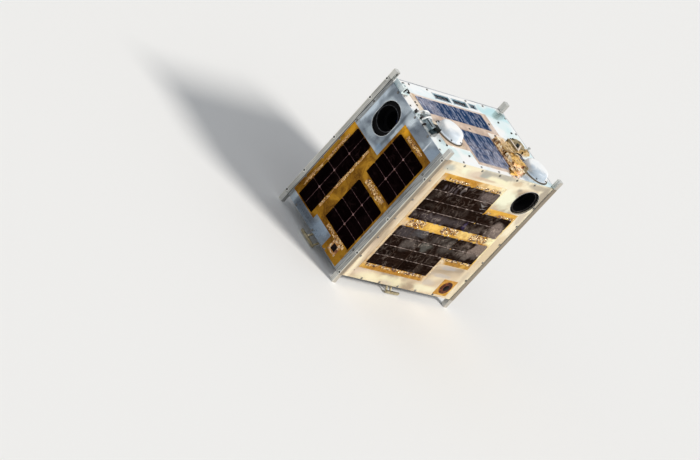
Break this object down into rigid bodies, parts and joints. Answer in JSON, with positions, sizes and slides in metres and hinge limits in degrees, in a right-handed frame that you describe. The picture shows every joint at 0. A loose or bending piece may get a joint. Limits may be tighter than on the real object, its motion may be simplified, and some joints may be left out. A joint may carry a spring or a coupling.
{
  "type": "small box satellite",
  "caption": "Box-shaped small satellite with square corner rails, solar cells on film, star tracker windows and dome antennas.",
  "frame": {"origin": "centre of the plane of the lower rail tips, on which the satellite stands", "axes": "+Z along the rails towards the antenna deck, -Y out of the front face, -X out of the left face"},
  "size_m": [0.55, 0.35, 0.55],
  "materials": {
    "rail_metal": "satin",
    "panel_metal": "brushed",
    "deck_metal": "polished",
    "stack_metal": "matte",
    "connector_black": "satin",
    "baffle_black": "matte",
    "lens_glass": "polished",
    "amber_film": "glossy",
    "solar_cell": "glossy",
    "sensor_metal": "satin",
    "dome_white": "satin",
    "gold_foil": "glossy",
    "bracket_tan": "satin"
  },
  "bodies": {
    "root": {"rail_front_left": "rail_metal", "rail_front_right": "rail_metal", "rail_rear_left": "rail_metal", "rail_rear_right": "rail_metal", "panel_front": "panel_metal", "panel_rear": "panel_metal", "panel_left": "panel_metal", "panel_right": "panel_metal", "panel_top": "deck_metal", "panel_bottom": "deck_metal", "equipment_stack": "stack_metal", "test_connectors": "connector_black", "tracker_baffle_left": "baffle_black", "tracker_baffle_front": "baffle_black", "tracker_lens_left": "lens_glass", "tracker_lens_front": "lens_glass", "film_front": "amber_film", "film_rear": "amber_film", "film_left": "amber_film", "film_right": "amber_film", "film_top": "amber_film", "film_bottom": "amber_film", "cells_front_upper": "solar_cell", "cells_front_lower": "solar_cell", "cells_rear_upper": "solar_cell", "cells_rear_lower": "solar_cell", "cells_left_tall": "solar_cell", "cells_left_upper": "solar_cell", "cells_left_lower": "solar_cell", "cells_right_upper": "solar_cell", "cells_right_lower": "solar_cell", "cells_top_long": "solar_cell", "cells_top_short": "solar_cell", "cells_bottom": "solar_cell", "sun_sensor_left": "sensor_metal", "sun_sensor_front": "sensor_metal", "sun_sensor_rear": "sensor_metal", "sun_sensor_right": "sensor_metal", "antenna_dome_left": "dome_white", "antenna_dome_right": "dome_white", "foil_unit_long": "gold_foil", "foil_unit_short": "gold_foil", "cable_connector": "connector_black", "cable_clamp": "rail_metal", "corner_bracket": "rail_metal", "tie_down_post": "rail_metal", "patch_antenna_left": "dome_white", "patch_antenna_right": "dome_white", "edge_bracket_front": "bracket_tan", "edge_bracket_rear": "bracket_tan", "edge_bracket_left": "bracket_tan", "edge_bracket_right": "bracket_tan"}
  },
  "joints": []
}
